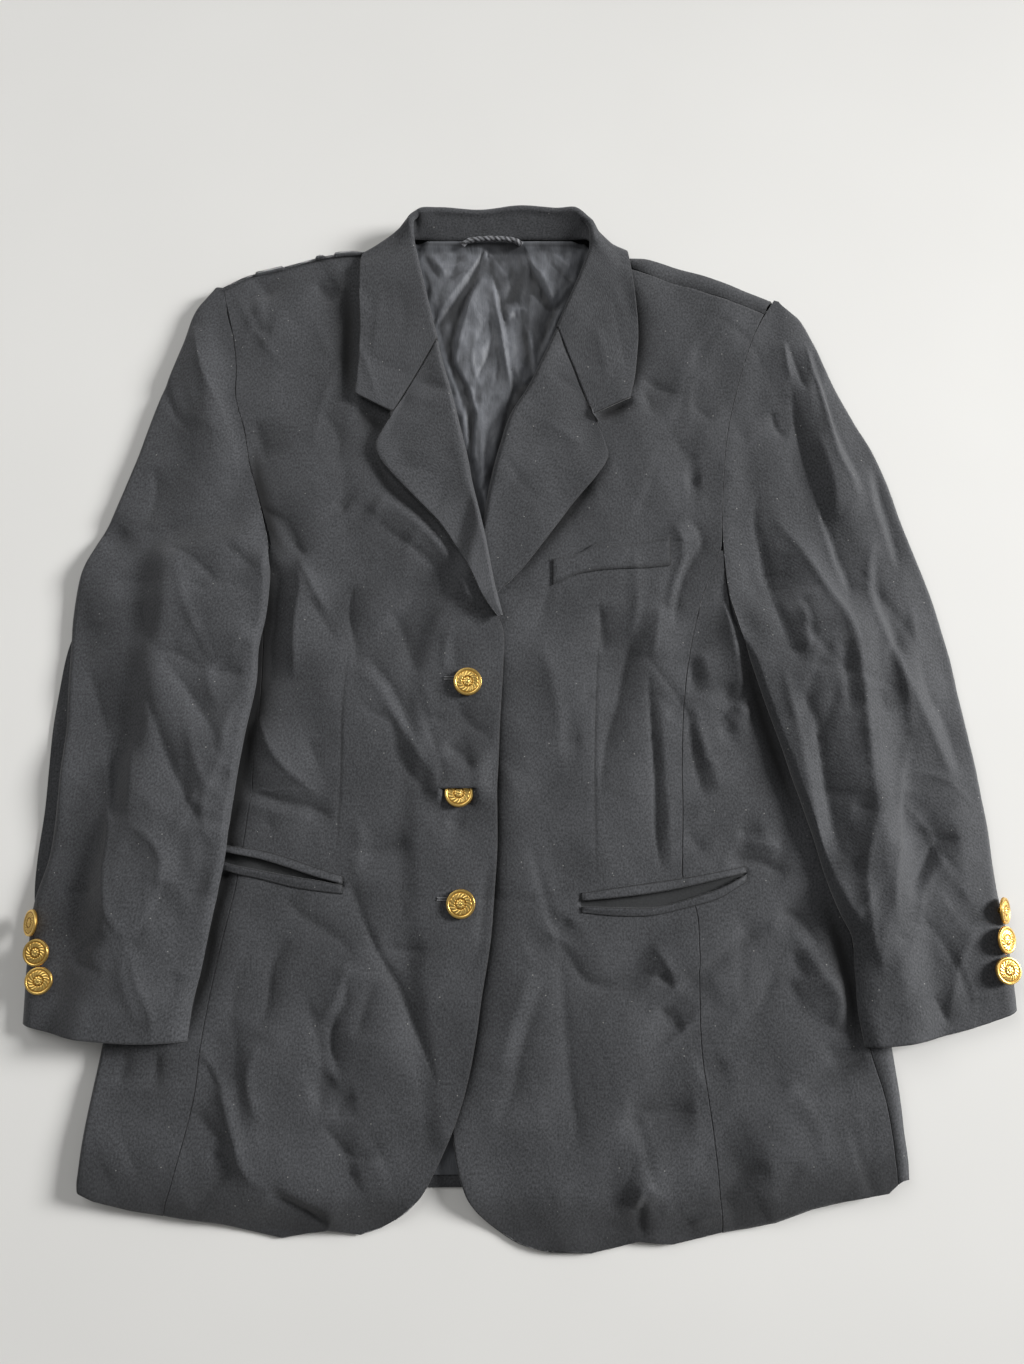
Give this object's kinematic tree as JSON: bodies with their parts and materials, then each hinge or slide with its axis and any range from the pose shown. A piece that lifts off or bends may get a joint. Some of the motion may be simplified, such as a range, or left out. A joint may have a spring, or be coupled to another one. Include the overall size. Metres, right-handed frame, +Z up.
{
  "type": "blazer",
  "caption": "Single-breasted lined blazer with notched lapels, breast welt, jetted hip pockets and metal buttons, laid flat with its fronts up.",
  "frame": {"origin": "on the surface the blazer lies on, at the middle of the underside of the back", "axes": "+X towards the wearer's left, +Y towards the collar, +Z up from the surface through the fronts"},
  "size_m": [0.7379, 0.806, 0.024],
  "materials": {
    "cloth": "matt charcoal wool-blend twill",
    "facing": "matt dark cloth inside the pockets",
    "lining": "charcoal satin",
    "cord": "braided black cord",
    "brass": "polished yellow brass with a relief"
  },
  "bodies": {
    "root": {"back": "cloth", "back_lining": "lining", "breast_welt": "cloth", "collar": "cloth", "cuff_button_left_1": "brass", "cuff_button_left_2": "brass", "cuff_button_left_3": "brass", "cuff_button_right_1": "brass", "cuff_button_right_2": "brass", "cuff_button_right_3": "brass", "front_button_1": "brass", "front_button_2": "brass", "front_button_3": "brass", "front_left": "cloth", "front_right": "cloth", "hanger_loop": "cord", "jet_lower_left": "cloth", "jet_lower_right": "cloth", "jet_upper_left": "cloth", "jet_upper_right": "cloth", "lapel_left": "cloth", "lapel_right": "cloth", "pocket_facing_left": "facing", "pocket_facing_right": "facing", "side_left": "cloth", "side_right": "cloth", "under_sleeve_left": "cloth", "under_sleeve_right": "cloth", "upper_sleeve_left": "cloth", "upper_sleeve_right": "cloth"}
  },
  "joints": []
}
